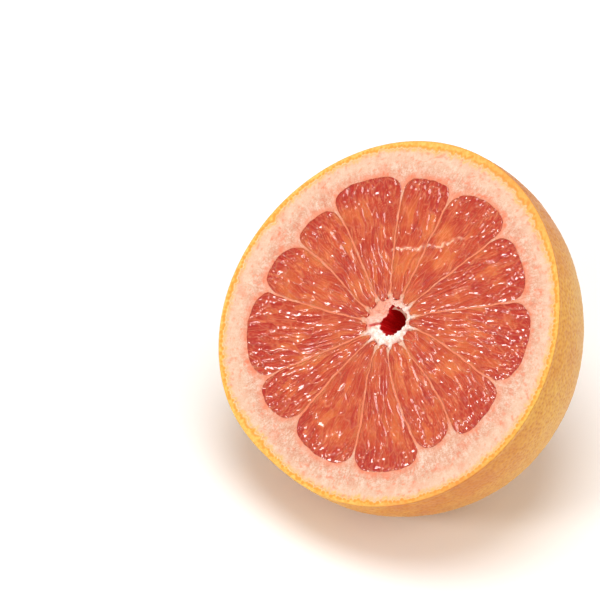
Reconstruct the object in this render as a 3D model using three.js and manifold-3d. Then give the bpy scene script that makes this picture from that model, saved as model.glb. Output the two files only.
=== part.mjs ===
// Half of a pink grapefruit, cut a little past its equator and resting on its rind.
//
// The fruit is modelled in its own frame: the cut face lies in z = 0 and looks along +Z, the stem
// axis is Z, and the body hangs below the face down to the stem pole. Nested groups then turn it,
// so that the face leans back and the rind rests on a small flat spot whose middle is the origin.
// All sizes are in millimetres, and all angles named _DEG are in degrees.

import * as THREE from "three";
import { mergeVertices } from "three/addons/utils/BufferGeometryUtils.js";
import Module from "manifold-3d";

// ---- driving dimensions -------------------------------------------------------------------

const EQUATOR_RADIUS = 55; // widest radius of the fruit
const POLE_HEIGHT = 52; // from the fruit's centre to the skin at the stem end
const CUT_OFFSET = 6; // the knife passed this far beyond the centre
const ZEST = 1.9; // thickness of the coloured skin
const PEEL_AT_POLE = 12; // skin and pith together, under the stem end
const CLEARANCE = 0.3; // gap between pieces that touch in the real fruit
const SEPTUM = 0.9; // thickness of the membrane wall between two segments
const PULP_TIP = 2; // how far short of their common pole the segments end, bluntly
const CORE_X = -1.4; // the white core is off the axis
const CORE_Y = 0.5;
const CORE_WALL = 3.3; // from the hollow in the core to the segments round it
const HOLE_RADIUS = 4.3;
const HOLE_END_RADIUS = 2.6;
const HOLE_DEPTH = 26;
const HOLE_X = 0.6;
const HOLE_Y = 1.2;

// The skin's outline is slightly three-sided, and a little fuller on one side.
const THREE_SIDED = 0.012;
const THREE_SIDED_DEG = 65;
const FULLER_SIDE = 0.005;
const FULLER_SIDE_DEG = 130;

// Stem end: a shallow dimple with the dry button left by the stalk.
const DIMPLE_DEPTH = 1.8;
const DIMPLE_RADIUS = 7;
const BUTTON_RADIUS = 2.7;
const BUTTON_HEIGHT = 1.3;

// How the half lies.
const FACE_TILT_DEG = 40; // of the face, from level
const FACE_HEADING_DEG = -42.3; // of the lean, from -Y towards -X
const FACE_ROLL_DEG = 31.1; // about the stem axis
const SEAT_DEPTH = 2.6; // how far the rind is pressed flat where it rests

// Each segment starts at its own membrane, which stands at one angle at the peel and at another
// round the core, and ends at the next one's. Its peel is the skin and pith outside its middle.
const SEGMENTS = [
  { rimDeg: 7.5, coreDeg: 9, peel: 10.3 },
  { rimDeg: 37, coreDeg: 35, peel: 9.8 },
  { rimDeg: 66, coreDeg: 60, peel: 10.3 },
  { rimDeg: 88, coreDeg: 87, peel: 9.2 },
  { rimDeg: 120, coreDeg: 115, peel: 10.9 },
  { rimDeg: 141, coreDeg: 144, peel: 10.0 },
  { rimDeg: 163, coreDeg: 168, peel: 8.4 },
  { rimDeg: 200, coreDeg: 203, peel: 10.3 },
  { rimDeg: 224, coreDeg: 223, peel: 10.9 },
  { rimDeg: 256, coreDeg: 250, peel: 9.8 },
  { rimDeg: 288, coreDeg: 278, peel: 13.8 },
  { rimDeg: 303, coreDeg: 311, peel: 10.6 },
  { rimDeg: 332, coreDeg: 344, peel: 9.2 },
];

// ---- fineness of the faceted surfaces -----------------------------------------------------

const SKIN_AROUND = 54;
const SKIN_RINGS = 16;
const LOBE_POINTS = 24;
const LOBE_LEVELS = 5;
const LOBE_CORNER = 6; // superellipse exponent: higher is squarer
const HOLE_SIDES = 24;
const CUTTER_RISE = 6; // how far cutting solids stand above the face
const CUTTER_SIZE = 300;

// ---- colours ------------------------------------------------------------------------------

const ZEST_COLOUR = 0xf0a63a;
const PITH_COLOUR = 0xf6cfb8;
const PULP_COLOUR = 0xd9503a;
const BUTTON_COLOUR = 0xa98a63;

const rad = THREE.MathUtils.degToRad;

// ---- where the floor is, seen from the fruit ----------------------------------------------

const turn = new THREE.Matrix4()
  .makeRotationZ(rad(FACE_HEADING_DEG))
  .multiply(new THREE.Matrix4().makeRotationX(rad(FACE_TILT_DEG)))
  .multiply(new THREE.Matrix4().makeRotationZ(rad(FACE_ROLL_DEG)));
const up = new THREE.Vector3(0, 0, 1).applyMatrix4(turn.clone().transpose());

// The lowest point of the fruit's ellipsoid before it is pressed flat, relative to its centre.
const support = new THREE.Vector3(
  -(EQUATOR_RADIUS ** 2) * up.x,
  -(EQUATOR_RADIUS ** 2) * up.y,
  -(POLE_HEIGHT ** 2) * up.z,
);
support.divideScalar(Math.sqrt(-support.dot(up)));
const lowest = support.clone().setZ(support.z - CUT_OFFSET);
const faceHeight = -lowest.dot(up) - SEAT_DEPTH; // of the face's centre above the floor
const seat = lowest.clone().addScaledVector(up, SEAT_DEPTH); // middle of the flat spot

// ---- sizes that follow --------------------------------------------------------------------

const faceRadius = EQUATOR_RADIUS * Math.sqrt(1 - (CUT_OFFSET / POLE_HEIGHT) ** 2);
const pulpPole = POLE_HEIGHT - PEEL_AT_POLE; // from the centre to the pulp's pole
const pulpDepth = CUT_OFFSET + pulpPole - PULP_TIP;
const coreRadius = HOLE_RADIUS + CORE_WALL;

// ---- booleans -----------------------------------------------------------------------------

const wasm = await Module();
wasm.setup();

function solidOf(geometry) {
  const bare = geometry.index ? geometry.toNonIndexed() : geometry.clone();
  bare.deleteAttribute("normal");
  bare.deleteAttribute("uv");
  const merged = mergeVertices(bare, 1e-4);
  const mesh = new wasm.Mesh({
    numProp: 3,
    vertProperties: merged.attributes.position.array,
    triVerts: new Uint32Array(merged.index.array),
  });
  return new wasm.Manifold(mesh);
}

function geometryOf(solid) {
  const { vertProperties, triVerts } = solid.getMesh();
  const geometry = new THREE.BufferGeometry();
  geometry.setAttribute("position", new THREE.BufferAttribute(vertProperties, 3));
  geometry.setIndex(new THREE.BufferAttribute(triVerts, 1));
  geometry.computeVertexNormals();
  return geometry;
}

// ---- surfaces -----------------------------------------------------------------------------

// Closes a stack of rings, all with the same number of points and counter-clockwise seen from
// +Z, listed from the top one down. Each end is a fan about the mean of its ring.
function stack(rings) {
  const around = rings[0].length;
  const points = rings.flat();
  const middleOf = (ring) =>
    ring.reduce((sum, p) => sum.add(p), new THREE.Vector3()).divideScalar(around);
  const top = points.push(middleOf(rings[0])) - 1;
  const bottom = points.push(middleOf(rings.at(-1))) - 1;
  const lastRing = (rings.length - 1) * around;
  const faces = [];
  for (let i = 0; i < around; i++) {
    const next = (i + 1) % around;
    faces.push(top, i, next, bottom, lastRing + next, lastRing + i);
    for (let ring = 0; ring < lastRing; ring += around) {
      const [a, b] = [ring + i, ring + next];
      faces.push(a, a + around, b, b, a + around, b + around);
    }
  }
  const geometry = new THREE.BufferGeometry().setFromPoints(points);
  geometry.setIndex(faces);
  return geometry;
}

// Share by which the fruit's outline stands out, by the angle round its axis.
function outline(angle) {
  const lobes = THREE_SIDED * Math.cos(3 * (angle - rad(THREE_SIDED_DEG)));
  return 1 + lobes + FULLER_SIDE * Math.cos(angle - rad(FULLER_SIDE_DEG));
}

// One ring of the skin, inset by so much, at an angle from the stem pole.
function skinRing(inset, fromPole, height) {
  const radius = (EQUATOR_RADIUS - inset) * Math.sin(fromPole);
  const dimple = DIMPLE_DEPTH * Math.exp(-((radius / DIMPLE_RADIUS) ** 2));
  const depth = (POLE_HEIGHT - inset) * Math.cos(fromPole) - (fromPole < 1 ? dimple : 0);
  return Array.from({ length: SKIN_AROUND }, (_, i) => {
    const angle = (2 * Math.PI * i) / SKIN_AROUND;
    const r = radius * outline(angle);
    return new THREE.Vector3(
      r * Math.cos(angle),
      r * Math.sin(angle),
      height ?? -CUT_OFFSET - depth,
    );
  });
}

// The fruit below the cut, inset by so much, with its wall carried up by rise, and pressed flat
// so that it stays inset above the floor too.
function body(inset, rise) {
  const atCut = Math.acos(-CUT_OFFSET / (POLE_HEIGHT - inset));
  const rings = [skinRing(inset, atCut, rise)];
  if (rise > 0) rings.push(skinRing(inset, atCut, 0));
  for (let i = SKIN_RINGS - 1; i > 0; i--) {
    rings.push(skinRing(inset, (atCut * i) / SKIN_RINGS));
  }
  rings.push(skinRing(inset, (atCut * 0.25) / SKIN_RINGS));
  const floor = new THREE.BoxGeometry(CUTTER_SIZE, CUTTER_SIZE, CUTTER_SIZE);
  floor.applyQuaternion(new THREE.Quaternion().setFromUnitVectors(new THREE.Vector3(0, 0, 1), up));
  const middle = up.clone().multiplyScalar(inset - faceHeight - CUTTER_SIZE / 2);
  floor.translate(middle.x, middle.y, middle.z);
  return solidOf(stack(rings)).subtract(solidOf(floor));
}

// One level of a segment's pulp, grown by so much: a wedge with rounded corners between two
// membranes, from the core out to the peel.
function lobe(segment, level, grow, z) {
  const { from, to } = segment;
  const narrow = (height) => Math.sqrt(1 - ((height + CUT_OFFSET) / pulpPole) ** 2);
  const outer = (faceRadius - from.peel) * (narrow(level) / narrow(0)) + grow;
  const inner = coreRadius - grow;
  const wall = SEPTUM / 2 + CLEARANCE - grow;
  const rounded = (value) => Math.sign(value) * Math.abs(value) ** (2 / LOBE_CORNER);
  return Array.from({ length: LOBE_POINTS }, (_, i) => {
    const angle = (2 * Math.PI * (i + 0.5)) / LOBE_POINTS;
    const along = (rounded(Math.cos(angle)) + 1) / 2;
    const across = rounded(Math.sin(angle));
    const radius = inner + along * (outer - inner);
    const start = THREE.MathUtils.lerp(from.coreDeg, from.rimDeg, along);
    const end = THREE.MathUtils.lerp(to.coreDeg, to.rimDeg, along);
    const half = rad(end - start) / 2 - Math.asin(wall / radius);
    const bearing = rad(start + end) / 2 + across * half;
    return new THREE.Vector3(
      radius * Math.cos(bearing) + (1 - along) * CORE_X,
      radius * Math.sin(bearing) + (1 - along) * CORE_Y,
      z,
    );
  });
}

// A segment's pulp, or the pocket it fills when grown by the clearance.
function pulp(segment, grow, rise) {
  const rings = rise > 0 ? [lobe(segment, 0, grow, rise)] : [];
  for (let i = 0; i <= LOBE_LEVELS; i++) {
    const level = -pulpDepth * Math.sin((Math.PI * i) / 2 / LOBE_LEVELS);
    rings.push(lobe(segment, level, grow, i === LOBE_LEVELS ? level - grow : level));
  }
  return solidOf(stack(rings));
}

// ---- pieces -------------------------------------------------------------------------------

// The coloured skin: a thin shell, open at the cut face.
function makeZest() {
  return geometryOf(body(0, 0).subtract(body(ZEST, CUTTER_RISE)));
}

// The white pith, with the membranes and the core that grow out of it.
function makePith(segments) {
  const hole = new THREE.CylinderGeometry(
    HOLE_RADIUS,
    HOLE_END_RADIUS,
    HOLE_DEPTH + CUTTER_RISE,
    HOLE_SIDES,
  );
  hole.rotateX(Math.PI / 2);
  hole.translate(HOLE_X, HOLE_Y, (CUTTER_RISE - HOLE_DEPTH) / 2);
  let pith = body(ZEST + CLEARANCE, 0).subtract(solidOf(hole));
  for (const segment of segments) {
    pith = pith.subtract(pulp(segment, CLEARANCE, CUTTER_RISE));
  }
  return geometryOf(pith);
}

// The dry button in the dimple at the stem end.
function makeButton() {
  const profile = [
    [0, 0],
    [BUTTON_RADIUS * 0.8, BUTTON_HEIGHT * 0.05],
    [BUTTON_RADIUS, BUTTON_HEIGHT * 0.45],
    [BUTTON_RADIUS * 0.85, BUTTON_HEIGHT * 0.9],
    [BUTTON_RADIUS * 0.45, BUTTON_HEIGHT],
    [0, BUTTON_HEIGHT * 0.75],
  ];
  const button = new THREE.LatheGeometry(
    profile.map(([r, h]) => new THREE.Vector2(r, h)),
    HOLE_SIDES,
  );
  button.rotateX(-Math.PI / 2); // the lathe's axis, up in the profile, now points at -Z
  const bed = CUT_OFFSET + POLE_HEIGHT - DIMPLE_DEPTH + CLEARANCE;
  button.translate(0, 0, -bed);
  return geometryOf(solidOf(button));
}

function mesh(name, geometry, color, roughness) {
  const material = new THREE.MeshStandardMaterial({ color, roughness, metalness: 0 });
  const made = new THREE.Mesh(geometry, material);
  made.name = name;
  return made;
}

// ---- assembly -----------------------------------------------------------------------------

const [first] = SEGMENTS;
const afterLast = { rimDeg: first.rimDeg + 360, coreDeg: first.coreDeg + 360 };
const segments = SEGMENTS.map((from, i) => ({
  name: `segment_${String(i + 1).padStart(2, "0")}`,
  from,
  to: SEGMENTS[i + 1] ?? afterLast,
}));

const rolled = new THREE.Group();
rolled.rotation.z = rad(FACE_ROLL_DEG);
rolled.add(mesh("zest", makeZest(), ZEST_COLOUR, 0.35));
rolled.add(mesh("pith", makePith(segments), PITH_COLOUR, 0.8));
rolled.add(mesh("stem_button", makeButton(), BUTTON_COLOUR, 0.85));
for (const segment of segments) {
  rolled.add(mesh(segment.name, geometryOf(pulp(segment, 0, 0)), PULP_COLOUR, 0.2));
}

const tilted = new THREE.Group();
tilted.rotation.x = rad(FACE_TILT_DEG);
tilted.add(rolled);

const turned = new THREE.Group();
turned.rotation.z = rad(FACE_HEADING_DEG);
turned.add(tilted);
turned.position.copy(seat.clone().negate().applyMatrix4(turn));

const grapefruitHalf = new THREE.Group();
grapefruitHalf.add(turned);

export default grapefruitHalf;
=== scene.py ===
"""The looks of half a grapefruit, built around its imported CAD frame.

Shapes are worked out in millimetres in the fruit's own frame, with the cut face in z = 0, the stem
axis along Z and the body below the face. place() turns them into metres in the frame's axes.
"""

import math
import bpy
import numpy as np
from mathutils import Matrix, Vector, kdtree


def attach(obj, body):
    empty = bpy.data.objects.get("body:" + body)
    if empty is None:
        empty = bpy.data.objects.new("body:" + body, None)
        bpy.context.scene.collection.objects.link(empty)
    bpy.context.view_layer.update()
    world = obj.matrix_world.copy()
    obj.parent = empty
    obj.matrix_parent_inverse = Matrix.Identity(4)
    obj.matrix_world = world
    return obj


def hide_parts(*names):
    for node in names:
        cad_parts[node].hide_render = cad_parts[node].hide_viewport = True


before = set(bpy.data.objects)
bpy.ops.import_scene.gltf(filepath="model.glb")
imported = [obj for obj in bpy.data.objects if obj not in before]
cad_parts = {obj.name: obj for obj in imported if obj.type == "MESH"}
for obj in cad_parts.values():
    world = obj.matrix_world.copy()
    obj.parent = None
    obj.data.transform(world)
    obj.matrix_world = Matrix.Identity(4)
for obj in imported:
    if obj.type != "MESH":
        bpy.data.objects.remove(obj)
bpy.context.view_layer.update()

# ---- the fruit's sizes -------------------------------------------------------------------

MM = 0.001
EQUATOR_RADIUS = 55.0
POLE_HEIGHT = 52.0
CUT_OFFSET = 6.0
PEEL_AT_POLE = 12.0
SEAT_DEPTH = 2.6
DIMPLE_DEPTH = 1.8
DIMPLE_RADIUS = 7.0
FACE_TILT = math.radians(40.0)
FACE_HEADING = math.radians(-42.3)
FACE_ROLL = math.radians(31.1)
CORE_RADIUS = 7.0
# Middles of the core and of its hollow, as the photo shows them. The CAD's are a little off these.
CORE = np.array([-0.7, 0.8])
HOLE = np.array([1.2, 1.0])

# Membrane angles in degrees: at the peel, half way in and at the core.
MEMBRANES = [
    (7.5, 8, 12.5),
    (37, 38, 40.5),
    (66, 66.4, 67.5),
    (88.3, 90.5, 93.5),
    (120, 118.6, 120.5),
    (141.5, 139.7, 146.5),
    (163, 165.3, 167),
    (199.6, 199, 198.5),
    (224, 222, 217),
    (256.5, 254.8, 243),
    (288.5, 282.4, 272),
    (302.8, 307.7, 307),
    (332, 334.3, 345),
]
# How far each segment reaches out, near its first membrane, in its middle and near the next one.
REACHES = [
    (43.7, 43.9, 43.7),
    (45.2, 45.2, 42.4),
    (43.6, 44.0, 44.0),
    (44.4, 45.4, 45.6),
    (42.4, 43.0, 42.6),
    (42.2, 44.3, 44.0),
    (45.6, 46.3, 44.8),
    (43.9, 43.7, 41.0),
    (41.6, 43.2, 43.2),
    (43.2, 43.9, 43.2),
    (40.1, 40.4, 39.2),
    (42.7, 43.2, 42.4),
    (43.7, 45.1, 44.0),
]
MEMBRANE_RADII = (43.0, 27.0, 10.8)
MEMBRANE = 0.5

AT_CUT = math.acos(-CUT_OFFSET / POLE_HEIGHT)
FACE_RADIUS = EQUATOR_RADIUS * math.sqrt(1 - (CUT_OFFSET / POLE_HEIGHT) ** 2)


def turned(axis, angle):
    """The matrix of a turn about one axis."""
    return np.array(Matrix.Rotation(angle, 3, axis))


TURN = turned("Z", FACE_HEADING) @ turned("X", FACE_TILT) @ turned("Z", FACE_ROLL)
UP = TURN.T @ np.array([0.0, 0.0, 1.0])
# The lowest point of the uncut body, and the middle of the flat spot that it rests on.
support = -np.array([EQUATOR_RADIUS**2, EQUATOR_RADIUS**2, POLE_HEIGHT**2]) * UP
support /= math.sqrt(-support @ UP)
SEAT = support - [0, 0, CUT_OFFSET] + SEAT_DEPTH * UP


def place(points):
    """Millimetres in the fruit's frame to metres in the CAD frame."""
    return (points - SEAT) @ TURN.T * MM


# ---- noise -------------------------------------------------------------------------------

rng = np.random.default_rng(11)
GRADIENTS = rng.normal(size=(256, 3))
GRADIENTS /= np.linalg.norm(GRADIENTS, axis=1)[:, None]
SHUFFLE = np.tile(rng.permutation(256), 3)
FLAT_LEVEL = 0.37  # height at which flat points are looked up
SEED_SHIFT = 17.3
OCTAVE_SHIFT = 5.1


def noise(points, size, seed=0, octaves=1):
    """Smooth noise, about -0.6 to 0.6, with features of the given size."""
    points = np.asarray(points, float)
    if points.shape[-1] == 2:
        level = np.full(points.shape[:-1] + (1,), FLAT_LEVEL)
        points = np.concatenate([points, level], axis=-1)
    total = np.zeros(points.shape[:-1])
    weight = 1.0
    for octave in range(octaves):
        p = points * (2**octave / size) + SEED_SHIFT * (seed + 1) + OCTAVE_SHIFT * octave
        cell = np.floor(p).astype(int)
        f = p - cell
        fade = f * f * f * (f * (f * 6 - 15) + 10)
        value = 0.0
        for corner in np.ndindex(2, 2, 2):
            c = (cell + corner) & 255
            h = SHUFFLE[SHUFFLE[SHUFFLE[c[..., 0]] + c[..., 1]] + c[..., 2]]
            dot = ((f - corner) * GRADIENTS[h]).sum(axis=-1)
            share = np.prod(np.where(corner, fade, 1 - fade), axis=-1)
            value = value + share * dot
        total += weight * value
        weight *= 0.5
    return total


def smooth(x, low, high):
    """A soft step from 0 at low to 1 at high."""
    t = np.clip((x - low) / (high - low), 0, 1)
    return t * t * (3 - 2 * t)


# ---- meshes ------------------------------------------------------------------------------


def circle(columns):
    """Evenly spaced angles all round."""
    return 2 * np.pi * np.arange(columns) / columns


def polar(radius, angle):
    """Flat points from their radii and angles."""
    return np.stack([radius * np.cos(angle), radius * np.sin(angle)], axis=-1)


def add_piece(name, points, faces, material, nodes, uv, values=None):
    """One smooth-shaded piece from points in the fruit's frame, with values for its material."""
    mesh = bpy.data.meshes.new(name)
    mesh.from_pydata(place(points).tolist(), [], [list(map(int, f)) for f in faces])
    mesh.validate()
    mesh.shade_smooth()
    for key, value in (values or {}).items():
        layer = mesh.attributes.new(key, "FLOAT", "POINT")
        layer.data.foreach_set("value", np.asarray(value, np.float32))
    corners = np.zeros(len(mesh.loops), int)
    mesh.loops.foreach_get("vertex_index", corners)
    low, high = uv.min(axis=0), uv.max(axis=0)
    flat = ((uv - low) / (high - low).max())[corners]
    mesh.uv_layers.new(name="OFBake").data.foreach_set("uv", flat.astype(np.float32).ravel())
    mesh.materials.append(material)
    piece = bpy.data.objects.new(name, mesh)
    bpy.context.scene.collection.objects.link(piece)
    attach(piece, "root")
    if nodes:
        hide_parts(*nodes)


def grid_faces(rows, columns, start=0, closed=False):
    """Quads between consecutive rows of a grid, wrapped round if it is closed."""
    wide = columns if closed else columns - 1
    i, j = np.meshgrid(np.arange(rows - 1), np.arange(wide), indexing="ij")
    i, j = i.ravel(), j.ravel()
    k = (j + 1) % columns
    return start + np.stack(
        [i * columns + j, i * columns + k, (i + 1) * columns + k, (i + 1) * columns + j], axis=1
    )


def fan(ring, tip):
    """Triangles from a closed ring of points to one tip."""
    return [[a, tip, b] for a, b in zip(ring, np.roll(ring, -1))]


def halfway(angles):
    """Angles half way between the points of a closed ring."""
    return (np.append(angles[1:], angles[0] + 2 * np.pi) + angles) / 2


def zip_rings(first, first_angles, second, second_angles):
    """Triangles between two closed rings with different numbers of points."""
    n, m = len(first), len(second)
    first_halfway, second_halfway = halfway(first_angles), halfway(second_angles)
    i = np.arange(n)
    apex = np.searchsorted(second_halfway, first_halfway) % m
    one = np.stack([first[i], first[(i + 1) % n], second[apex]], axis=1)
    j = np.arange(m)
    apex = np.searchsorted(first_halfway, second_halfway, side="right") % n
    two = np.stack([second[(j + 1) % m], second[j], first[apex]], axis=1)
    return np.concatenate([one, two])


# ---- materials ---------------------------------------------------------------------------


def srgb(red, green, blue):
    """A colour given by its usual 0 to 255 values."""
    c = np.array([red, green, blue]) / 255
    linear = np.where(c <= 0.04045, c / 12.92, ((c + 0.055) / 1.055) ** 2.4)
    return (*linear.tolist(), 1.0)


class Nodes:
    """Short calls that build a material's node tree."""

    def __init__(self, name):
        self.material = bpy.data.materials.new(name)
        self.material.use_nodes = True
        self.tree = self.material.node_tree
        self.shader = self.tree.nodes["Principled BSDF"]

    def connect(self, socket, value):
        """Links a socket to another node's output, or sets it to a plain value."""
        if isinstance(value, bpy.types.NodeSocket):
            self.tree.links.new(value, socket)
        else:
            socket.default_value = value

    def add(self, kind, inputs, **settings):
        node = self.tree.nodes.new(kind)
        for key, value in settings.items():
            setattr(node, key, value)
        for key, value in inputs.items():
            self.connect(node.inputs[key], value)
        return node

    def value(self, name):
        """A value that the mesh holds for each point."""
        return self.add("ShaderNodeAttribute", {}, attribute_name=name).outputs["Fac"]

    def noise(self, size, detail=3.0, rough=0.5):
        """Noise of a feature size in millimetres."""
        place = self.add("ShaderNodeTexCoord", {}).outputs["Object"]
        inputs = {"Vector": place, "Scale": 1 / (size * MM), "Detail": detail, "Roughness": rough}
        return self.add("ShaderNodeTexNoise", inputs).outputs["Fac"]

    def ramp(self, factor, *stops):
        node = self.add("ShaderNodeValToRGB", {"Fac": factor})
        elements = node.color_ramp.elements
        while len(elements) < len(stops):
            elements.new(0.5)
        for element, (position, colour) in zip(elements, stops):
            element.position = position
            element.color = colour
        return node.outputs["Color"]

    def range(self, factor, low, high, to_low, to_high):
        inputs = {0: factor, 1: low, 2: high, 3: to_low, 4: to_high}
        return self.add("ShaderNodeMapRange", inputs).outputs[0]

    def mix(self, factor, a, b):
        return self.add("ShaderNodeMix", {0: factor, 6: a, 7: b}, data_type="RGBA").outputs[2]

    def math(self, operation, a, b):
        return self.add("ShaderNodeMath", {0: a, 1: b}, operation=operation).outputs[0]

    def bump(self, height, depth):
        """A bump whose full height is depth, in millimetres."""
        inputs = {"Height": height, "Distance": depth * MM}
        return self.add("ShaderNodeBump", inputs).outputs["Normal"]

    def finish(self, **sockets):
        """Sets the shader's sockets and gives the material."""
        for key, value in sockets.items():
            self.connect(self.shader.inputs[key.replace("_", " ")], value)
        return self.material


def zest_material():
    """The coloured skin, and its cut with the oil glands."""
    n = Nodes("zest")
    pore = n.value("pore")
    cut = n.value("cut")
    gland = n.value("gland")
    edge = n.value("edge")
    patches = n.noise(26, 2)
    mottle = n.noise(0.9, 3, 0.6)
    skin = n.ramp(
        n.math("ADD", n.math("MULTIPLY", patches, 0.65), n.math("MULTIPLY", mottle, 0.35)),
        (0.3, srgb(218, 142, 44)),
        (0.5, srgb(226, 166, 58)),
        (0.72, srgb(233, 188, 80)),
    )
    # Painted shade: the skin is painted a deeper orange in patches.
    skin = n.mix(n.value("tint_and_painted_shade"), skin, srgb(208, 124, 40))
    skin = n.mix(pore, skin, srgb(194, 98, 20))
    flesh = n.ramp(n.noise(1.1, 3), (0.35, srgb(228, 166, 66)), (0.65, srgb(238, 194, 102)))
    flesh = n.mix(gland, flesh, srgb(230, 152, 52))
    # Painted shade: the cut's ring is painted a deeper orange in the same patches.
    flesh = n.mix(n.math("MULTIPLY", n.value("tint_and_painted_shade"), 0.5), flesh, srgb(232, 134, 62))
    flesh = n.mix(edge, flesh, skin)
    fade = n.math("MULTIPLY", n.value("fade"), n.range(n.noise(0.8, 3), 0.3, 0.6, 0.5, 1.0))
    flesh = n.mix(fade, flesh, srgb(238, 204, 160))
    colour = n.mix(cut, skin, flesh)
    return n.finish(
        Base_Color=colour,
        Roughness=n.range(n.noise(3, 3), 0.3, 0.7, 0.38, 0.5),
        Subsurface_Weight=0.12,
        Subsurface_Radius=(1.0, 0.5, 0.2),
        Subsurface_Scale=0.002,
        Specular_IOR_Level=0.35,
        Coat_Weight=0.15,
        Coat_Roughness=0.25,
        Normal=n.bump(n.noise(0.9, 3, 0.6), 0.12),
    )


def pith_material():
    """The pale sponge, with flushed, fibrous and zest-tinted parts."""
    n = Nodes("pith")
    parts = [
        n.math("MULTIPLY", n.noise(2.6, 4, 0.65), 0.4),
        n.math("MULTIPLY", n.noise(0.45, 4, 0.7), 0.45),
        n.math("MULTIPLY", n.value("fibre"), 0.15),
    ]
    colour = n.ramp(
        n.math("ADD", n.math("ADD", parts[0], parts[1]), parts[2]),
        (0.38, srgb(206, 128, 98)),
        (0.5, srgb(216, 168, 142)),
        (0.62, srgb(234, 206, 188)),
    )
    colour = n.mix(n.value("pale"), colour, srgb(229, 195, 167))
    colour = n.mix(n.value("zesty"), colour, srgb(228, 180, 100))
    colour = n.mix(n.value("flush"), colour, srgb(230, 122, 84))
    return n.finish(
        Base_Color=colour,
        Roughness=0.6,
        Subsurface_Weight=0.15,
        Subsurface_Radius=(1.0, 0.5, 0.35),
        Subsurface_Scale=0.0015,
        Normal=n.bump(n.noise(0.6, 4, 0.7), 0.15),
    )


def core_material():
    """The white tufts, with the red of the hollow."""
    n = Nodes("core")
    colour = n.ramp(n.noise(1.1, 4, 0.6), (0.36, srgb(250, 212, 194)), (0.56, srgb(255, 250, 244)))
    colour = n.mix(n.value("tint_and_painted_shade"), colour, srgb(236, 160, 134))
    colour = n.mix(n.value("deep"), colour, srgb(204, 6, 10))
    return n.finish(
        Base_Color=colour,
        Roughness=0.55,
        Subsurface_Weight=0.1,
        Subsurface_Radius=(1.0, 0.5, 0.4),
        Subsurface_Scale=0.001,
        Normal=n.bump(n.noise(0.5, 4, 0.7), 0.15),
    )


def pulp_material():
    """Wet pulp with pale seams and streaks."""
    n = Nodes("pulp")
    drift = n.noise(7, 2, 0.5)
    body = n.ramp(
        n.math("ADD", n.math("MULTIPLY", n.value("sac"), 0.22), n.math("MULTIPLY", drift, 0.78)),
        (0.33, srgb(175, 32, 8)),
        (0.5, srgb(189, 60, 20)),
        (0.67, srgb(208, 100, 42)),
    )
    body = n.mix(n.value("rim"), body, srgb(174, 20, 6))
    seam = n.math("MULTIPLY", n.value("seam"), 0.35)
    streak = n.math("MULTIPLY", n.value("streak"), 0.6)
    colour = n.mix(n.math("MAXIMUM", seam, streak), body, srgb(238, 146, 98))
    colour = n.mix(n.value("mark"), colour, srgb(246, 190, 158))
    return n.finish(
        Base_Color=colour,
        Roughness=0.35,
        Subsurface_Weight=0.6,
        Subsurface_Radius=(1.0, 0.3, 0.18),
        Subsurface_Scale=0.003,
        Specular_IOR_Level=0.3,
        Coat_Weight=1.0,
        Coat_IOR=1.57,
        Coat_Roughness=0.06,
        Normal=n.bump(n.noise(0.8, 3, 0.5), 0.05),
    )


def stem_material():
    """The dry scar of the stalk."""
    n = Nodes("stem")
    colour = n.ramp(
        n.noise(0.7, 4, 0.65),
        (0.3, srgb(138, 108, 66)),
        (0.55, srgb(184, 154, 102)),
        (0.75, srgb(214, 188, 136)),
    )
    return n.finish(
        Base_Color=colour, Roughness=0.85, Normal=n.bump(n.noise(0.4, 4, 0.7), 0.15)
    )


# ---- shape of the fruit ------------------------------------------------------------------

FLOOR_SOFTNESS = 0.35


def outline(angle):
    """Share by which the skin stands out, by the angle round the stem axis."""
    lobes = 0.012 * np.cos(3 * (angle - math.radians(65)))
    return 1 + lobes + 0.005 * np.cos(angle - math.radians(130))


def near_angle(angle, centre, width):
    """A smooth hump round one angle in radians, with its centre and width in degrees."""
    away = (np.degrees(angle) - centre + 180) % 360 - 180
    return np.exp(-((away / width) ** 2))


def flattened(angle):
    """Millimetres by which the skin's outline is a little flatter on one side of the face."""
    return 1.5 * near_angle(angle, 228, 20)


def face_rim(angle):
    """Radius of the skin's outline on the cut face."""
    return FACE_RADIUS * outline(angle) - flattened(angle)


def on_floor(points):
    """Presses the rind flat where it rests, with a soft edge to the flat spot."""
    height = (points - SEAT) @ UP
    lifted = 0.5 * (height + np.sqrt(height**2 + FLOOR_SOFTNESS**2))
    near = height < 4 * FLOOR_SOFTNESS
    return points + np.where(near, lifted - height, 0)[:, None] * UP


def membrane_angle(index, radius):
    """Angle of a membrane at a radius: a curve through its three known angles."""
    turns, index = divmod(index, len(MEMBRANES))
    a, b, c = MEMBRANE_RADII
    x = np.clip(radius, c * 0.7, a)
    outer, middle, inner = MEMBRANES[index]
    value = (
        outer * (x - b) * (x - c) / ((a - b) * (a - c))
        + middle * (x - a) * (x - c) / ((b - a) * (b - c))
        + inner * (x - a) * (x - b) / ((c - a) * (c - b))
    )
    return np.radians(value + 360 * turns)


def padded(parts, count, rest=0.0):
    """Values joined end to end, filled up to the count with one more value."""
    joined = np.concatenate(parts)
    return np.append(joined, np.full(count - len(joined), rest))


# ---- rind --------------------------------------------------------------------------------

SKIN_STEP = 0.54
ROW_SHARE = 0.87  # height of a row of the skin's triangles over their width
SKIN_JITTER = 0.1
SKIN_INSET = 2.0  # depth of the rind's inner wall
WALL_ROWS = 5
PORE_SPACING = 1.05
PORE_DEPTH = 0.3
EDGE_ROUND = 0.24
THETA_END = math.acos(-(CUT_OFFSET - EDGE_ROUND) / POLE_HEIGHT)
SKIN_ROWS = round(POLE_HEIGHT * THETA_END / (SKIN_STEP * ROW_SHARE))
CUT_COLUMNS = 1150
CUT_SHARES = np.linspace(0, 1, 10)
EDGE_COLOUR = (0.6, 0.3, 0.05)  # share of the skin's colour in the first rings of the cut
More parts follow.
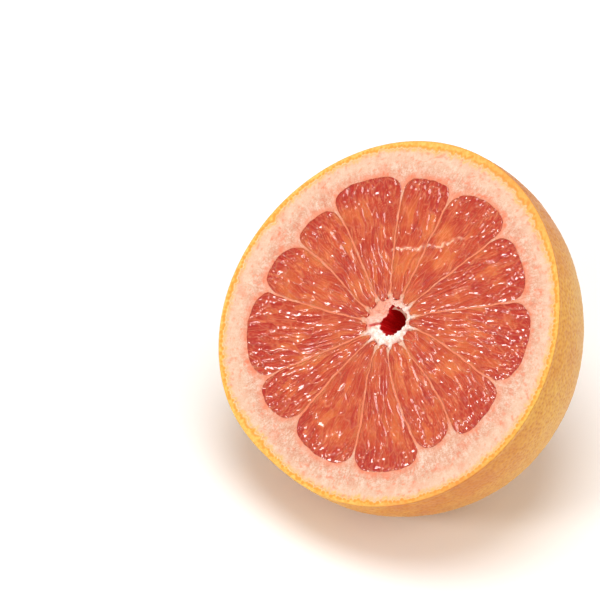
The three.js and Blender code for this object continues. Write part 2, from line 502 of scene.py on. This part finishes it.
# Where the oil glands are closer together and deeper: angle, width and how much more.
GLAND_PATCHES = ((40, 22, 1.3), (74, 12, 1.5), (140, 3, 1.1), (217, 9, 1.5), (264, 3, 0.9))


def oil_glands():
    """Oil glands that the cut shows: angle, depth under the skin and radius of each."""
    random = np.random.default_rng(21)
    glands = []
    run = 0.0
    while run < 2 * math.pi * FACE_RADIUS - 1.0:
        angle = run / FACE_RADIUS
        more = sum(m * near_angle(angle, c, w) for c, w, m in GLAND_PATCHES)
        depth = random.uniform(0.75, 1.7) + more * random.uniform(0.2, 1.2)
        glands.append((angle, depth, random.uniform(0.45, 0.75)))
        run += random.uniform(0.8, 1.6) / (1 + 0.5 * more)
    return np.array(glands)


GLANDS = oil_glands()


def zest_depth(angle):
    """Thickness of the coloured skin on the cut face, scalloped by its oil glands."""
    fine = np.linspace(0, 2 * np.pi, 3001)
    ring = polar(1.0, fine) * FACE_RADIUS
    depth = 1.5 + 0.8 * noise(ring, 7, 3) + 0.5 * noise(ring, 1.5, 4)
    for centre, down, size in GLANDS:
        away = (fine - centre + np.pi) % (2 * np.pi) - np.pi
        reach = down + np.sqrt(np.maximum(size**2 - (away * FACE_RADIUS) ** 2, 0)) * 1.15
        depth = np.where(np.abs(away) * FACE_RADIUS < size, np.maximum(depth, reach), depth)
    return np.interp(np.mod(angle, 2 * np.pi), fine, np.maximum(depth, 0.8))


def gland_share(angle, below):
    """How far points on the cut's outer ring lie inside an oil gland, 0 to 1."""
    share = np.zeros(np.broadcast(angle, below).shape)
    for centre, down, size in GLANDS:
        away = (angle - centre + np.pi) % (2 * np.pi) - np.pi
        far = np.hypot(away * FACE_RADIUS, below - down)
        share = np.maximum(share, smooth(far / size, 1.05, 0.7))
    return share


def choose_pores(points, spacing):
    """Points at least the spacing apart, picked in random order."""
    taken = {}
    chosen = []
    cells = np.floor(points / spacing).astype(int).tolist()
    coordinates = points.tolist()
    steps = (np.array(list(np.ndindex(3, 3, 3))) - 1).tolist()
    for k in np.random.default_rng(5).permutation(len(points)).tolist():
        (x, y, z), point = cells[k], coordinates[k]
        near = [q for a, b, c in steps for q in taken.get((x + a, y + b, z + c), ())]
        if all(math.dist(point, q) >= spacing for q in near):
            taken.setdefault((x, y, z), []).append(point)
            chosen.append(k)
    return np.array(chosen)


def skin_points(theta, angle, inset=0.0):
    """Points of the skin, from their angles off the stem axis and round it."""
    radius = (EQUATOR_RADIUS - inset) * np.sin(theta)
    dimple = DIMPLE_DEPTH * np.exp(-((radius / DIMPLE_RADIUS) ** 2)) * (theta < 1)
    depth = (POLE_HEIGHT - inset) * np.cos(theta) - dimple
    r = radius * outline(angle) - flattened(angle) * np.sin(theta) ** 6
    return np.column_stack([polar(r, angle), -CUT_OFFSET - depth])


def skin_rings():
    """Rings of the skin's points, from the stem end to the cut: all their angles, and each ring."""
    thetas, angles, rings, start = [], [], [], 0
    for row in range(1, SKIN_ROWS + 1):
        theta = THETA_END * row / SKIN_ROWS
        count = max(6, round(2 * math.pi * EQUATOR_RADIUS * math.sin(theta) / SKIN_STEP))
        angle = 2 * np.pi * (np.arange(count) + 0.5 * (row % 2)) / count
        thetas.append(np.full(count, theta))
        angles.append(angle)
        rings.append((start + np.arange(count), angle))
        start += count
    return np.concatenate(thetas), np.concatenate(angles), rings


def jittered(theta, angle):
    """Moves the skin's points about a little, all but the last ring's."""
    jitter = np.random.default_rng(2).uniform(-SKIN_JITTER, SKIN_JITTER, (len(theta), 2))
    free = theta < THETA_END * (1 - 1.5 / SKIN_ROWS)
    theta = theta + np.where(free, jitter[:, 0] / POLE_HEIGHT, 0)
    spread = np.maximum(EQUATOR_RADIUS * np.sin(theta), 1)
    return theta, angle + np.where(free, jitter[:, 1] / spread, 0)


def outward_of(points):
    """Directions square to the skin."""
    outward = points * [1, 1, (EQUATOR_RADIUS / POLE_HEIGHT) ** 2]
    outward += [0, 0, CUT_OFFSET]
    return outward / np.linalg.norm(outward, axis=1)[:, None]


def pore_values(points, faces):
    """How much each of the skin's points is in a pore, 0 to 1."""
    chosen = choose_pores(points, PORE_SPACING)
    pore = np.zeros(len(points))
    pore[chosen] = np.random.default_rng(8).uniform(0.4, 0.95, len(chosen))
    spill = np.zeros(len(points))
    for a, b in ((0, 1), (1, 2), (2, 0), (1, 0), (2, 1), (0, 2)):
        np.maximum.at(spill, faces[:, a], pore[faces[:, b]])
    return np.maximum(pore, 0.3 * spill)


def skin_sink(points, theta, angle, pore):
    """How far the skin sinks in at its pores, in broad waves and at the creases round the stem."""
    waves = 0.25 * (0.5 + noise(points, 14, 1))
    sink = PORE_DEPTH * pore + waves + 0.12 * (0.5 + noise(points, 5, 2))
    sink *= smooth(THETA_END - theta, 0, 0.03)
    radius = EQUATOR_RADIUS * np.sin(theta)
    creases = np.cos(angle * 7 + 2.5 * noise(points, 6, 7)) * np.exp(-(((radius - 6) / 3) ** 2))
    sink += 0.25 * (creases + 0.4) * (radius < 14)
    return np.maximum(sink, 0)


def rind_painted_shade(points):
    """Painted shade: patches where the rind is painted a deeper orange, mostly near the cut."""
    angle = np.arctan2(points[:, 1], points[:, 0])
    near_cut = smooth(points[:, 2], -34, -4)
    patches = 1.0 * near_angle(angle, 290, 22) + 0.75 * near_angle(angle, 48, 24)
    return near_cut * patches * (0.9 + 0.9 * noise(points, 9, 9, 2))


def cut_profile(rim, inner_edge):
    """Radius and height of each ring over the zest's cut. A height of None is still to be found."""
    outer_edge = rim - EDGE_ROUND
    profile = [(rim - 0.09, -EDGE_ROUND * 0.45), (outer_edge, 0.0)]
    profile += [(outer_edge * (1 - s) + inner_edge * s, None) for s in CUT_SHARES[1:]]
    return profile + [(inner_edge - 0.1, -1.4), (rim - 2.6, -4.0)]


def cut_rings(around):
    """The rings that the zest shows on the cut, with the values of their points."""
    rim = face_rim(around)
    rings = []
    values = {"cut": [], "gland": [], "edge": [], "fade": []}
    for k, (r, z) in enumerate(cut_profile(rim, rim - zest_depth(around))):
        flat = polar(r, around)
        steps = len(CUT_SHARES) - 1
        if z is None:
            z = 0.12 * noise(flat, 1.2, 8) - 0.03 - 0.1 * (k - 1) / steps
        rings.append(np.column_stack([flat, np.broadcast_to(z, len(around))]))
        values["cut"].append(np.ones(len(around)))
        values["gland"].append(gland_share(around, rim - r))
        edge = EDGE_COLOUR[k] if k < len(EDGE_COLOUR) else 0.0
        values["edge"].append(np.full(len(around), edge))
        values["fade"].append(np.full(len(around), smooth((k - 1) / steps, 0.65, 1.0)))
    return rings, values


def make_rind():
    """The coloured skin: its pored outside, the ring it shows on the cut and its inner wall."""
    theta, angle, rings = skin_rings()
    theta, angle = jittered(theta, angle)
    skin = skin_points(theta, angle)
    faces = np.concatenate([zip_rings(*b, *a) for a, b in zip(rings, rings[1:])])
    pore = pore_values(skin, faces)
    skin = skin - outward_of(skin) * skin_sink(skin, theta, angle, pore)[:, None]

    around = circle(CUT_COLUMNS)
    shown, values = cut_rings(around)
    for level in np.linspace(AT_CUT * 0.95, 0.1, WALL_ROWS):
        shown.append(skin_points(np.full(CUT_COLUMNS, level), around, SKIN_INSET))
    ends = skin_points(np.zeros(2), np.zeros(2), np.array([SKIN_INSET, 0.0]))
    points = np.concatenate([skin, *shown, ends])

    base = len(skin)
    ring = base + np.arange(CUT_COLUMNS)
    faces = list(np.concatenate([faces, zip_rings(ring, around, *rings[-1])]))
    faces += list(grid_faces(len(shown), CUT_COLUMNS, base, closed=True)[:, ::-1])
    faces += fan(ring + (len(shown) - 1) * CUT_COLUMNS, len(points) - 2)
    faces += fan(rings[0][0], len(points) - 1)

    zero = np.zeros(base)
    values = {key: padded([zero, *value], len(points)) for key, value in values.items()}
    values["pore"] = padded([pore], len(points))
    # Painted shade: where the rind and the cut's ring are painted a deeper orange.
    values["tint_and_painted_shade"] = np.clip(rind_painted_shade(points), 0, 1)
    ring_distance = np.repeat(91 + 0.4 * np.arange(len(shown)), CUT_COLUMNS)
    distance = padded([theta / THETA_END * 90, ring_distance], len(points))
    turn = padded([angle, np.tile(around, len(shown))], len(points))
    uv = polar(distance, turn)
    add_piece("rind", on_floor(points), faces, zest_material(), ["zest"], uv, values)


# ---- segments ----------------------------------------------------------------------------

PULP_STEP = 0.27
PULP_BASE = -0.13
PULP_TOP = 0.12  # above this the pulp rises five times less
CORNER = 0.14
EDGE_DROP = 0.06
WALL_DEPTHS = (1.5, 6.0, 14.0, 24.0, 33.0, 39.0, 43.0)
SEGMENT_DEPTH = 43.5
KNIFE_FROM = -2.0
KNIFE_TO = 25.0
KNIFE_Y = 22.4
KNIFE_BEND = 0.009
SAC_LENGTH = 6.5
SAC_WIDTH = 1.8


def wedge(index, u, v):
    """A point of a segment on the cut face: u goes across it and v from the core outwards."""
    start, middle, end = REACHES[index]
    reach = middle + (end - start) / 2 * u / 0.85
    reach += ((start + end) / 2 - middle) * (u / 0.85) ** 2
    mid_angle = (membrane_angle(index, 30.0) + membrane_angle(index + 1, 30.0)) / 2
    heading = np.array([math.cos(mid_angle), math.sin(mid_angle)])
    start_radius = CORE_RADIUS + CORE @ heading
    radius = start_radius + v * (reach - start_radius)
    low, high = membrane_angle(index, radius), membrane_angle(index + 1, radius)
    wide = MEMBRANE * (0.6 + 0.4 * smooth(radius, 8, 30))
    half = (high - low) / 2 - np.arcsin(np.minimum(wide / 2 / radius, 0.9))
    flat = polar(radius, (low + high) / 2 + u * half)
    wobble = np.stack([noise(flat, 3.0, 20), noise(flat, 3.0, 21)], axis=-1)
    return flat + 0.45 * wobble, radius, half * radius


def segment_grid(index):
    """Grid of a segment's cut surface, with rounded corners."""
    length = REACHES[index][1] - CORE_RADIUS
    low, high = membrane_angle(index, 38.0), membrane_angle(index + 1, 38.0)
    rows = round(length / PULP_STEP)
    columns = round((high - low) * 38 / PULP_STEP)
    t, s = np.meshgrid(np.linspace(-1, 1, rows), np.linspace(-1, 1, columns), indexing="ij")
    u = s * np.where(t > 0, 1 - CORNER * np.abs(t) ** 14, 1 - 2 * CORNER * np.abs(t) ** 24)
    v = t * (1 - 0.6 * CORNER * np.abs(s) ** 6)
    flat, radius, half_width = wedge(index, u, (v + 1) / 2)
    to_edge = np.minimum((1 - np.abs(s)) * half_width, (1 - np.abs(t)) * length / 2)
    return flat, radius, half_width, u, to_edge


def sac_seeds(random):
    """Middles of the juice sacs, along the segment and across it."""
    along = np.arange(0, 56, SAC_LENGTH)
    across = np.arange(-20, 20.1, SAC_WIDTH)
    along, across = np.meshgrid(along, across, indexing="ij")
    along = along + random.uniform(-0.5, 0.5, along.shape) * SAC_LENGTH
    across = across + random.uniform(-0.42, 0.42, across.shape) * SAC_WIDTH
    return along.ravel(), across.ravel()


def nearest_sacs(along, across, seeds):
    """The sac that each point lies in, and how much further off the next one is."""
    tree = kdtree.KDTree(len(seeds[0]))
    for k, (x, y) in enumerate(zip(*seeds)):
        tree.insert((x / SAC_LENGTH, y / SAC_WIDTH, 0), k)
    tree.balance()
    query = np.stack([along / SAC_LENGTH, across / SAC_WIDTH], axis=-1).reshape(-1, 2)
    near = [tree.find_n((x, y, 0), 2) for x, y in query.tolist()]
    own = np.array([n[0][1] for n in near])
    gap = np.array([n[1][2] - n[0][2] for n in near])
    return own, gap


def sac_heights(random, count, own, gap, off_along, off_across):
    """Height of domed sacs that lean each its own way, and a random number for each."""
    lift = random.uniform(-1, 1, count)
    lean_along = random.normal(0, 0.035, count)
    lean_across = random.normal(0, 0.13, count)
    steep = random.uniform(0, 1, count) < 0.2
    lean_across = np.where(steep, 2.5 * lean_across, lean_across)
    tint = random.uniform(0, 1, count)
    rise = random.uniform(0.03, 0.42, count)
    dome = 1 - (1 - np.clip(gap / 0.9, 0, 1)) ** 2
    height = rise[own] * dome + 0.08 * lift[own]
    return height + lean_along[own] * off_along + lean_across[own] * off_across, tint[own]


def fibres(index, flat, along, across):
    """Noise drawn out along the sacs, coarse and fine, and the pale streaks that go with it."""
    strand = np.stack([along / 7.0, across / 0.65], axis=-1)
    coarse = noise(strand, 1.0, 60 + index)
    fine = noise(strand * [1.3, 2.1], 1.0, 80 + index)
    streak = np.exp(-((coarse / 0.06) ** 2)) * smooth(noise(flat, 4.5, 33), -0.3, 0.2)
    return coarse, fine, np.maximum(streak, 0.35 * np.exp(-((fine / 0.07) ** 2)))


def sacs(index, flat, radius, half_width, u):
    """Relief of the juice sacs: height, a random number for each sac, its seams and streaks."""
    random = np.random.default_rng(100 + index)
    along = radius + 3.0 * noise(flat, 17, 30) + 0.8 * noise(flat, 4, 34)
    across = u * half_width**0.7 * 11**0.3 + 4.0 * noise(flat, 14, 31)
    across = across + 0.5 * noise(flat, 3.5, 35)
    seeds = sac_seeds(random)
    own, gap = nearest_sacs(along, across, seeds)
    off_along = along.ravel() - seeds[0][own]
    off_across = across.ravel() - seeds[1][own]
    height, tint = sac_heights(random, len(seeds[0]), own, gap, off_along, off_across)
    seam = np.exp(-((gap / 0.1) ** 2))
    coarse, fine, streak = fibres(index, flat, along, across)
    calm = smooth(noise(flat, 8, 36), -0.25, 0.3)
    shape = flat.shape[:-1]
    height = height.reshape(shape) * (0.4 + 0.7 * calm) + 0.07 * calm * coarse + 0.02 * fine
    return height, tint.reshape(shape), seam.reshape(shape), streak


def knife_mark(flat):
    """The ridge that the knife left across two segments, and how pale it is."""
    x, y = flat[..., 0], flat[..., 1]
    share = (x - KNIFE_FROM) / (KNIFE_TO - KNIFE_FROM)
    line = KNIFE_Y + KNIFE_BEND * np.maximum(x - 6, 0) ** 2
    away = y - line + 1.4 * noise(flat, 4, 38) + 1.3 * noise(flat, 1.4, 39)
    ends = smooth(share, 0, 0.08) * smooth(share, 1, 0.7)
    beads = smooth(noise(flat, 1.3, 40), -0.2, 0.15)
    pale = np.exp(-((away / 0.5) ** 2)) * (0.15 + 0.8 * beads) * ends
    step = 0.45 * smooth(away, -0.5, 0.2) * np.exp(-np.maximum(away, 0) / 3.0) * ends
    return step + 0.25 * pale * beads, pale


def pulp_height(flat, radius, to_edge, relief):
    """Height of the cut pulp: its relief, calmer and rounded off at the edge."""
    rough = 0.4 * noise(flat, 1.3, 37) * smooth(radius, 34, 42) + 0.2 * noise(flat, 2.0, 41)
    calmed = (relief + rough) * (0.35 + 0.65 * smooth(to_edge, 0.1, 1.4))
    top = PULP_BASE + calmed + 0.07 * noise(flat, 0.9, 32, 2)
    top = np.minimum(top, PULP_TOP + 0.2 * (top - PULP_TOP))
    drop = np.clip(1 - to_edge / EDGE_DROP, 0, 1)
    return top - EDGE_DROP * (1 - np.sqrt(np.maximum(1 - drop**2, 0)))


def border(rows, columns):
    """Numbers of the points along the border of a grid, in order."""
    return np.concatenate([
        np.arange(columns),
        np.arange(1, rows) * columns + columns - 1,
        (rows - 1) * columns + np.arange(columns - 2, -1, -1),
        np.arange(rows - 2, 0, -1) * columns,
    ])


def segment_wall(ring):
    """Rings down a segment's side. The first is a copy of its edge, so that shading breaks there."""
    pole = POLE_HEIGHT - PEEL_AT_POLE
    r = np.linalg.norm(ring[:, :2], axis=1)
    inner = np.minimum(r, CORE_RADIUS + 0.6)
    wall = [ring]
    for depth in WALL_DEPTHS:
        narrow = math.sqrt(1 - ((depth - CUT_OFFSET) / pole) ** 2)
        scale = (inner + (r - inner) * narrow) / r
        wall.append(np.column_stack([ring[:, :2] * scale[:, None], np.full(len(ring), -depth)]))
    return wall


def make_segment(index, material):
    """One segment of pulp. Gives its outline on the cut face."""
    flat, radius, half_width, u, to_edge = segment_grid(index)
    relief, tint, seam, streak = sacs(index, flat, radius, half_width, u)
    mark, pale = knife_mark(flat)
    top = pulp_height(flat, radius, to_edge, relief + mark)
    points = np.concatenate([flat, top[..., None]], axis=-1).reshape(-1, 3)
    faces = list(grid_faces(*top.shape))
    base = len(points)

    ring = points[border(*top.shape)]
    wall = segment_wall(ring)
    tip = np.append(wall[-1].mean(axis=0)[:2], -SEGMENT_DEPTH)
    points = np.concatenate([points, *wall, [tip]])
    faces += list(grid_faces(len(wall), len(ring), base, closed=True))
    last = base + (len(wall) - 1) * len(ring) + np.arange(len(ring))
    faces += fan(last[::-1], len(points) - 1)

    values = {
        "sac": padded([tint.ravel()], len(points), 0.5),
        "seam": padded([seam.ravel()], len(points)),
        "streak": padded([streak.ravel()], len(points)),
        "mark": padded([pale.ravel()], len(points)),
        "rim": padded([smooth(radius, 34, 44).ravel() * 0.85], len(points), 1.0),
    }
    edge = ring[:, :2]
    middle = edge.mean(axis=0)
    spread = [edge + (edge - middle) * 0.04 * (k + 1) for k in range(len(wall))]
    uv = np.concatenate([flat.reshape(-1, 2), *spread, [middle * 3]])
    name = "segment_%02d" % (index + 1)
    faces = [f[::-1] for f in faces]
    add_piece(name + "_pulp", points, faces, material, [name], uv, values)
    return edge


# ---- pith --------------------------------------------------------------------------------

PITH_ROWS = 150
PITH_END = FACE_RADIUS + 1.2
PITH_UNDER_RIM = 0.9
SKIRT = 2.5
OUTER_PEEL = 44.0  # radius past which the peel is mottled


def inside_outline(points, line):
    """Which points lie inside a closed outline."""
    inside = np.zeros(len(points), bool)
    x, y = points[:, 0], points[:, 1]
    for (ax, ay), (bx, by) in zip(line, np.roll(line, -1, axis=0)):
        crosses = (ay > y) != (by > y)
        with np.errstate(divide="ignore", invalid="ignore"):
            at = (bx - ax) * (y - ay) / (by - ay) + ax
        inside ^= crosses & (x < at)
    return inside


def off_segments(flat, outlines):
    """Distance of points from the nearest segment's outline, below zero inside a segment."""
    known = np.concatenate(outlines)
    tree = kdtree.KDTree(len(known))
    for k, (x, y) in enumerate(known):
        tree.insert((x, y, 0), k)
    tree.balance()
    points = flat.reshape(-1, 2)
    distance = np.array([tree.find((x, y, 0))[2] for x, y in points.tolist()])
    inside = np.zeros(len(points), bool)
    for line in outlines:
        low, high = line.min(axis=0), line.max(axis=0)
        box = np.all((points > low) & (points < high), axis=1)
        inside[box] |= inside_outline(points[box], line)
    return np.where(inside, -distance, distance).reshape(flat.shape[:-1])


def pith_grid():
    """Angles and radii of the pith's grid, with its columns closer together at the membranes."""
    radii = np.linspace(CORE_RADIUS - 2.2, PITH_END, PITH_ROWS)
    parts = []
    for index in range(len(MEMBRANES)):
        low, high = membrane_angle(index, radii), membrane_angle(index + 1, radii)
        count = max(18, round((high[-1] - low[-1]) * 50 / 0.42))
        share = np.arange(count) / count
        share = 0.45 * share + 0.55 * (1 - np.cos(np.pi * share)) / 2
        parts.append(low[:, None] + (high - low)[:, None] * share)
    angle = np.concatenate(parts, axis=1)
    radius = np.repeat(radii[:, None], angle.shape[1], axis=1)
    limit = face_rim(angle) - PITH_UNDER_RIM
    return angle, radius + smooth(radius, 46, PITH_END) * (limit - PITH_END)


def pith_height(flat, radius, signed, past_zest, tatters):
    """Height of the pith, which sinks under the core, the zest and the segments."""
    top = 0.16 * noise(flat, 2.5, 40, 3) + 0.05 * noise(flat, 0.8, 41, 2) - 0.08
    top -= 1.2 * smooth(np.linalg.norm(flat - CORE, axis=-1), 8.0, 6.6)
    top -= 0.06 * smooth(signed, 1.2, 0.2) * (1 - smooth(radius, 10.5, 8.5))
    top -= 0.4 * smooth(past_zest, 0.0, 0.4)
    top -= 1.6 * smooth(signed, -0.08, -0.55)
    return top + 0.15 * smooth(tatters, -0.2, -0.5) * (radius < 36)


def pith_flush(flat, radius, signed, tatters):
    """How red the pith is: next to the segments, between them and in mottled patches."""
    flush = 0.75 * smooth(signed, 2.6, 0.0) * (0.4 + 1.2 * (noise(flat, 4, 42, 2) + 0.25))
    between = smooth(radius, 42, 35) * smooth(signed, 3.0, 0.0)
    between = between * np.clip(1.1 + 1.3 * tatters, 0, 1)
    flush = np.clip(np.maximum(flush, between), 0, 1) * (1 - 0.9 * smooth(radius, 10.5, 8.5))
    flush = np.maximum(flush, smooth(signed, 0.2, -0.05))
    flush += 0.55 * smooth(noise(flat, 1.0, 43, 2), 0.18, 0.45) * (radius > OUTER_PEEL)
    flush += 0.3 * smooth(noise(flat, 6, 48, 3), 0.15, 0.5) * (radius > OUTER_PEEL)
    return np.clip(flush, 0, 1)


def make_pith(outlines):
    """The pale peel and the membranes: a sheet that sinks under each segment's edge."""
    angle, radius = pith_grid()
    columns = angle.shape[1]
    flat = polar(radius, angle)
    signed = off_segments(flat, outlines)
    past_zest = zest_depth(angle) - (face_rim(angle) - radius)
    tatters = noise(flat, 3, 44, 2)
    top = pith_height(flat, radius, signed, past_zest, tatters)
    points = np.concatenate([flat, top[..., None]], axis=-1).reshape(-1, 3)
    faces = grid_faces(PITH_ROWS, columns, closed=True)
    faces = faces[signed.ravel()[faces].max(axis=1) > -0.9]
    last = (PITH_ROWS - 1) * columns + np.arange(columns)
    skirt = last + columns
    sides = np.stack([last, np.roll(last, -1), np.roll(skirt, -1), skirt], axis=1)
    faces = np.concatenate([faces, sides])[:, ::-1]
    points = np.concatenate([points, points[last] - [0, 0, SKIRT]])

    zesty = 0.75 * smooth(past_zest, -1.5, 0.1) * (1 + 1.5 * noise(flat, 1.2, 47, 2))
    turns = np.stack([radius / 2.5, angle * 48 / 0.6], axis=-1)
    fibre = 0.5 + 0.7 * noise(turns, 1.0, 45) + 0.4 * noise(turns * 2, 1.0, 46)
    values = {
        "flush": pith_flush(flat, radius, signed, tatters),
        "fibre": fibre,
        "pale": 0.6 * smooth(radius, 45.5, 50.5),
        "zesty": np.clip(zesty, 0, 1),
    }
    values = {key: padded([value.ravel()], len(points)) for key, value in values.items()}
    uv = np.concatenate([flat.reshape(-1, 2), points[last][:, :2] * 1.04])
    add_piece(
        "pith_and_membranes", points, faces, pith_material(), ["pith"], uv, values
    )


# ---- core --------------------------------------------------------------------------------

CORE_COLUMNS = 420
TUFT_ROWS = 26
HOLLOW_RADIUS = 4.2
# Where the hollow is wider or narrower: angle, width and by how much.
HOLLOW_BUMPS = ((100, 14, 0.9), (245, 18, 0.9), (300, 25, -0.7), (138, 20, -1.2))
# Depths down the hollow, and its width there as a share of that at the top, the lowest first.
HOLLOW_WALL = ((12, 0.3), (9, 0.6), (6, 0.8), (3, 0.92), (1.5, 0.97), (0.7, 1), (0.3, 1))
HOLLOW_DEPTH = 12.6
TUFT_REACH = 7.0
SPIKE_REACH = 2.4


def hollow_radius(angle, ring):
    """The ragged radius of the hollow by the angle round it."""
    hole = HOLLOW_RADIUS + 0.7 * noise(ring, 0.8, 50, 2) + 0.7 * noise(ring, 0.2, 51, 2)
    for centre, width, more in HOLLOW_BUMPS:
        hole = hole + more * near_angle(angle, centre, width)
    return hole


def tuft_reach(angle, ring):
    """How far the tufts reach from the hollow's middle, with a spike at each membrane."""
    inner = MEMBRANE_RADII[2]
    spikes = np.zeros(len(angle))
    for index in range(len(MEMBRANES)):
        at = membrane_angle(index, inner)
        tip = inner * np.array([math.cos(at), math.sin(at)]) - HOLE
        spikes += near_angle(angle, math.degrees(math.atan2(tip[1], tip[0])), 4.0)
    reach = TUFT_REACH + SPIKE_REACH * np.clip(spikes, 0, 1) + 0.9 * noise(ring, 0.3, 52, 2)
    return reach + (CORE - HOLE) @ ring.T


def core_tufts(angle, ring):
    """Rings of the tufts from the hollow outwards, with how deep red and how flushed they are."""
    hole, reach = hollow_radius(angle, ring), tuft_reach(angle, ring)
    upper = near_angle(angle, 140, 50)
    rings, deep, tint_and_painted_shade = [], [], []
    for k in range(TUFT_ROWS):
        s = k / (TUFT_ROWS - 1)
        r = hole + (reach - hole) * s
        flat = HOLE + ring * r[:, None]
        fluff = 1.4 * noise(flat, 1.3, 53, 4) + 0.3
        z = fluff * np.sin(np.pi * min(1.0, 0.2 + 0.8 * s)) - 0.9 * s**5
        z = z - 1.6 * upper * (1 - s) * smooth(s, -0.2, 0.3)
        slit = near_angle(angle, 186, 20 / max(r.mean(), 1)) * smooth(s, 1.0, 0.75)
        rings.append(np.column_stack([flat, z - 0.8 * slit]))
        deep.append(np.clip(0.9 * slit + 0.5 * (k == 0), 0, 1))
        side = 0.4 * near_angle(angle, 60, 40)
        tint_and_painted_shade.append(np.clip(0.8 * upper + 0.6 * s**2 + side, 0, 1))
    return rings, deep, tint_and_painted_shade


def hollow_wall(angle, ring):
    """Rings of the hollow's wall, the lowest first."""
    hole = hollow_radius(angle, ring)
    rings = []
    for depth, share in HOLLOW_WALL:
        level = np.full(len(ring), float(depth))
        r = hole * share + 0.5 * noise(np.column_stack([ring * 4, level]), 1.5, 54)
        rings.append(np.column_stack([HOLE + ring * r[:, None], -level]))
    return rings


def make_core():
    """The white tufts round the hollow, and the hollow's wall."""
    angle = circle(CORE_COLUMNS)
    ring = polar(1.0, angle)
    wall = hollow_wall(angle, ring)
    tufts, deep, tint_and_painted_shade = core_tufts(angle, ring)
    grid = wall + tufts
    points = np.concatenate([*grid, [[*HOLE, -HOLLOW_DEPTH]]])
    faces = list(grid_faces(len(grid), CORE_COLUMNS, closed=True))
    faces += fan(np.arange(CORE_COLUMNS), len(points) - 1)
    faces = [f[::-1] for f in faces]
    in_wall = len(wall) * CORE_COLUMNS
    values = {
        "deep": np.concatenate([np.ones(in_wall), *deep, [1.0]]),
        "tint_and_painted_shade": np.concatenate([np.zeros(in_wall), *tint_and_painted_shade, [0.0]]),
    }
    uv = np.concatenate([ring * (1 + k) for k in range(len(grid))] + [np.zeros((1, 2))])
    add_piece("core", points, faces, core_material(), [], uv, values)


# ---- stem button -------------------------------------------------------------------------

STEM_ROWS = 14
STEM_COLUMNS = 60
STEM_RADIUS = 2.6
STEM_BASE = -(CUT_OFFSET + POLE_HEIGHT - DIMPLE_DEPTH + 0.3)


def make_stem_button():
    """The dry disc in the dimple: a ragged ring round a lower middle."""
    angle = circle(STEM_COLUMNS)
    lobed = 1 + 0.08 * np.cos(5 * angle + 0.6) + 0.05 * np.cos(11 * angle)
    rings = []
    for k in range(1, STEM_ROWS):
        s = k / (STEM_ROWS - 1)
        rounded = math.sin(math.pi / 2 * min(1, 1.6 * s))
        r = STEM_RADIUS * rounded * (1 - 0.1 * smooth(s, 0.7, 1)) * lobed
        flat = polar(r, angle)
        rise = 0.75 - 0.35 * math.exp(-((s / 0.25) ** 2)) + 0.15 * math.sin(9 * s)
        rise = rise * (1 - smooth(s, 0.62, 1.0)) + 0.12 * noise(flat, 0.9, 60, 2)
        rings.append(np.column_stack([flat, STEM_BASE - rise]))
    points = np.concatenate([*rings, [[0, 0, STEM_BASE - 0.4]]])
    faces = list(grid_faces(len(rings), STEM_COLUMNS, closed=True))
    faces += fan(np.arange(STEM_COLUMNS), len(points) - 1)
    uv = points[:, :2]
    add_piece("stem_scar", points, faces, stem_material(), ["stem_button"], uv)


# ---- stage -------------------------------------------------------------------------------

ELEVATION = math.radians(42)
CAMERA_DISTANCE = 2.5
SENSOR_WIDTH = 36
FRAME_WIDTH = 173.41  # millimetres that the picture is wide at the cut face
FACE_RIGHT = 26.012  # millimetres that the face's middle is right of the picture's middle
FACE_LOW = 6.792  # and below it
FLOOR_SIZE = 6.0
LAMP_TARGET = Vector((0.0, 0.0, 0.05))


def make_camera():
    """Looks at the half from the front and above, with the cut face right of the middle."""
    face = Vector(place(np.zeros(3)))
    back = Vector((0, -math.cos(ELEVATION), math.sin(ELEVATION)))
    right = Vector((1, 0, 0))
    upward = back.cross(right)
    location = face + back * CAMERA_DISTANCE
    target = face - right * (FACE_RIGHT * MM) + upward * (FACE_LOW * MM)
    data = bpy.data.cameras.new("camera")
    data.sensor_width = SENSOR_WIDTH
    data.lens = SENSOR_WIDTH * CAMERA_DISTANCE / (FRAME_WIDTH * MM)
    camera = bpy.data.objects.new("camera", data)
    camera.location = location
    camera.rotation_euler = (target - location).to_track_quat("-Z", "Y").to_euler()
    bpy.context.scene.collection.objects.link(camera)
    bpy.context.scene.camera = camera


def make_light(name, location, size, watts, colour=(1, 1, 1)):
    """A round lamp that points at the half."""
    data = bpy.data.lights.new(name, "AREA")
    data.shape = "DISK"
    data.size = size
    data.energy = watts
    data.color = colour
    light = bpy.data.objects.new(name, data)
    light.location = location
    light.rotation_euler = (LAMP_TARGET - Vector(location)).to_track_quat("-Z", "Y").to_euler()
    bpy.context.scene.collection.objects.link(light)


def make_floor():
    """The white floor."""
    size = FLOOR_SIZE
    corners = [(-size, -size, 0), (size, -size, 0), (size, size, 0), (-size, size, 0)]
    mesh = bpy.data.meshes.new("floor")
    mesh.from_pydata(corners, [], [(0, 1, 2, 3)])
    floor = bpy.data.objects.new("floor", mesh)
    bpy.context.scene.collection.objects.link(floor)
    white = Nodes("floor").finish(Base_Color=srgb(254, 254, 254), Roughness=0.8)
    mesh.materials.append(white)


def make_world():
    """A soft, even and slightly warm surrounding."""
    world = bpy.data.worlds.new("surrounding")
    world.use_nodes = True
    background = world.node_tree.nodes["Background"]
    background.inputs["Color"].default_value = (1.0, 0.94, 0.87, 1.0)
    background.inputs["Strength"].default_value = 0.42
    bpy.context.scene.world = world


# ---- making it all -----------------------------------------------------------------------

bpy.context.scene.view_settings.view_transform = "Standard"
make_camera()
make_floor()
make_world()
make_light("key", (0.0, -0.05, 1.15), 0.75, 8.3)
make_light("glints", (-0.9, -0.55, 0.55), 0.3, 4.5)
make_light("fill", (1.1, -0.8, 0.9), 1.3, 7, (1.0, 0.95, 0.9))
make_rind()
pulp = pulp_material()
outlines = [make_segment(index, pulp) for index in range(len(MEMBRANES))]
make_pith(outlines)
make_core()
make_stem_button()
